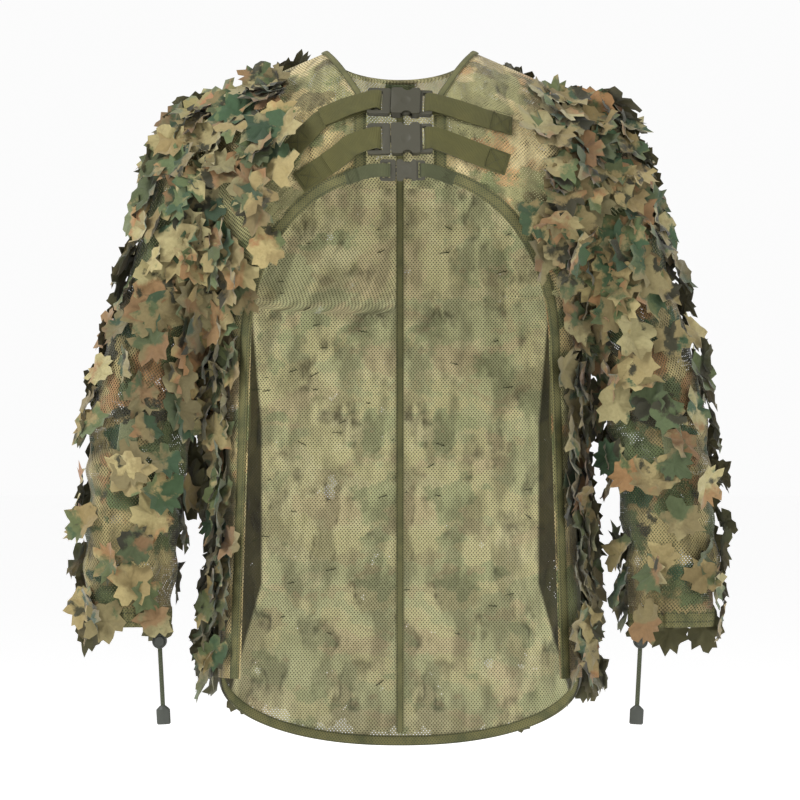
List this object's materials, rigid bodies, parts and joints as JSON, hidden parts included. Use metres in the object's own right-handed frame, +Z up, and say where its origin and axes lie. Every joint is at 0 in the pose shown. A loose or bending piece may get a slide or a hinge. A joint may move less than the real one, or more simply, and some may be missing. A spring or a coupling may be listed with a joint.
{
  "type": "ghillie suit jacket",
  "caption": "Open-mesh camouflage jacket covered with cut leaves, with an arched open front closed at the chest by side-release buckles.",
  "frame": {"origin": "midway between the two neck points of the shoulder line, where a wearer's neck carries the jacket", "axes": "+Z up, -Y to the front of the wearer, +X to the wearer's left"},
  "size_m": [0.7537, 0.2923, 0.7819],
  "materials": {
    "mesh_cloth": "open knitted mesh, printed camouflage",
    "leaf_cloth": "laser-cut woven leaves, printed camouflage",
    "webbing": "ribbed olive webbing",
    "binding_tape": "folded woven tape",
    "buckle_plastic": "moulded olive-grey acetal",
    "toggle_plastic": "moulded dark olive plastic",
    "spring_steel": "bare spring wire",
    "eyelet_metal": "dark oxide",
    "snap_metal": "olive enamel",
    "elastic_cord": "braided elastic",
    "loop_pile": "brushed loop pile"
  },
  "bodies": {
    "torso": {"back_yoke": "mesh_cloth", "back_panel_right": "mesh_cloth", "back_panel_left": "mesh_cloth", "back_seam_tape": "binding_tape", "front_yoke_right": "mesh_cloth", "front_yoke_left": "mesh_cloth", "side_panel_right": "mesh_cloth", "side_panel_left": "mesh_cloth", "arch_binding_right": "binding_tape", "arch_binding_left": "binding_tape", "neck_binding": "binding_tape", "tail_binding": "binding_tape", "upper_strap_right": "webbing", "upper_strap_left": "webbing", "middle_strap_right": "webbing", "middle_strap_left": "webbing", "lower_strap_right": "webbing", "lower_strap_left": "webbing", "upper_socket": "buckle_plastic", "middle_socket": "buckle_plastic", "lower_socket": "buckle_plastic", "foliage_loops": "webbing", "inner_tabs": "binding_tape", "inner_snaps": "snap_metal", "leaves_back": "leaf_cloth", "leaves_yokes": "leaf_cloth", "leaves_sides": "leaf_cloth"},
    "sleeve_right": {"sleeve_outer_right": "mesh_cloth", "sleeve_inner_right": "mesh_cloth", "cuff_casing_right": "binding_tape", "cuff_eyelet_right": "eyelet_metal", "cuff_cord_right": "elastic_cord", "cord_end_right": "toggle_plastic", "sleeve_patch_right": "loop_pile", "leaves_sleeve_right": "leaf_cloth"},
    "cord_lock_right": {"cord_lock_right": "toggle_plastic", "lock_spring_right": "spring_steel"},
    "lock_plunger_right": {"lock_plunger_right": "toggle_plastic"},
    "sleeve_left": {"sleeve_outer_left": "mesh_cloth", "sleeve_inner_left": "mesh_cloth", "cuff_casing_left": "binding_tape", "cuff_eyelet_left": "eyelet_metal", "cuff_cord_left": "elastic_cord", "cord_end_left": "toggle_plastic", "sleeve_patch_left": "loop_pile", "leaves_sleeve_left": "leaf_cloth"},
    "cord_lock_left": {"cord_lock_left": "toggle_plastic", "lock_spring_left": "spring_steel"},
    "lock_plunger_left": {"lock_plunger_left": "toggle_plastic"},
    "upper_plug": {"upper_plug": "buckle_plastic"},
    "upper_prong_top": {"upper_prong_top": "buckle_plastic"},
    "upper_prong_bottom": {"upper_prong_bottom": "buckle_plastic"},
    "middle_plug": {"middle_plug": "buckle_plastic"},
    "middle_prong_top": {"middle_prong_top": "buckle_plastic"},
    "middle_prong_bottom": {"middle_prong_bottom": "buckle_plastic"},
    "lower_plug": {"lower_plug": "buckle_plastic"},
    "lower_prong_top": {"lower_prong_top": "buckle_plastic"},
    "lower_prong_bottom": {"lower_prong_bottom": "buckle_plastic"}
  },
  "joints": [
    {"name": "sleeve_right_swing", "type": "hinge", "parent": "torso", "child": "sleeve_right", "pos_m": [-0.212, 0.005, -0.056], "axis": [0, 1, 0], "range_deg": [0, 25]},
    {"name": "cord_lock_right_slide", "type": "slide", "parent": "sleeve_right", "child": "cord_lock_right", "axis": [0.0523, 0, -0.9986], "range_m": [0, 0.056]},
    {"name": "lock_plunger_right_press", "type": "slide", "parent": "cord_lock_right", "child": "lock_plunger_right", "axis": [0, 1, 0], "range_m": [0, 0.004], "stiffness_N_per_m": 1200, "springref_m": -0.001, "deforming": ["lock_spring_right"]},
    {"name": "sleeve_left_swing", "type": "hinge", "parent": "torso", "child": "sleeve_left", "pos_m": [0.212, 0.005, -0.056], "axis": [0, -1, 0], "range_deg": [0, 25]},
    {"name": "cord_lock_left_slide", "type": "slide", "parent": "sleeve_left", "child": "cord_lock_left", "axis": [-0.0523, 0, -0.9986], "range_m": [0, 0.056]},
    {"name": "lock_plunger_left_press", "type": "slide", "parent": "cord_lock_left", "child": "lock_plunger_left", "axis": [0, 1, 0], "range_m": [0, 0.004], "stiffness_N_per_m": 1200, "springref_m": -0.001, "deforming": ["lock_spring_left"]},
    {"name": "upper_plug_release", "type": "slide", "parent": "torso", "child": "upper_plug", "axis": [-0.9994, 0.0209, 0.028], "range_m": [0, 0.026], "deforming": ["upper_strap_right"]},
    {"name": "upper_prong_top_press", "type": "hinge", "parent": "upper_plug", "child": "upper_prong_top", "pos_m": [-0.00801, -0.09523, -0.05519], "axis": [0, 0.8011, -0.5985], "range_deg": [0, 8], "stiffness_Nm_per_rad": 1.2},
    {"name": "upper_prong_bottom_press", "type": "hinge", "parent": "upper_plug", "child": "upper_prong_bottom", "pos_m": [-0.00879, -0.10858, -0.07306], "axis": [0, -0.8011, 0.5985], "range_deg": [0, 8], "stiffness_Nm_per_rad": 1.2},
    {"name": "middle_plug_release", "type": "slide", "parent": "torso", "child": "middle_plug", "axis": [-0.9998, -0.0052, -0.0167], "range_m": [0, 0.026], "deforming": ["middle_strap_right"]},
    {"name": "middle_prong_top_press", "type": "hinge", "parent": "middle_plug", "child": "middle_prong_top", "pos_m": [-0.0086, -0.1198, -0.09337], "axis": [0, 0.955, -0.2967], "range_deg": [0, 8], "stiffness_Nm_per_rad": 1.2},
    {"name": "middle_prong_bottom_press", "type": "hinge", "parent": "middle_plug", "child": "middle_prong_bottom", "pos_m": [-0.00821, -0.12642, -0.11468], "axis": [0, -0.955, 0.2967], "range_deg": [0, 8], "stiffness_Nm_per_rad": 1.2},
    {"name": "lower_plug_release", "type": "slide", "parent": "torso", "child": "lower_plug", "axis": [-1, 0, 0], "range_m": [0, 0.019], "deforming": ["lower_strap_right"]},
    {"name": "lower_prong_top_press", "type": "hinge", "parent": "lower_plug", "child": "lower_prong_top", "pos_m": [-0.0024, -0.12656, -0.12956], "axis": [0, 1, -0.0001], "range_deg": [0, 7], "stiffness_Nm_per_rad": 0.6},
    {"name": "lower_prong_bottom_press", "type": "hinge", "parent": "lower_plug", "child": "lower_prong_bottom", "pos_m": [-0.0024, -0.12656, -0.14444], "axis": [0, -1, 0.0001], "range_deg": [0, 7], "stiffness_Nm_per_rad": 0.6}
  ]
}
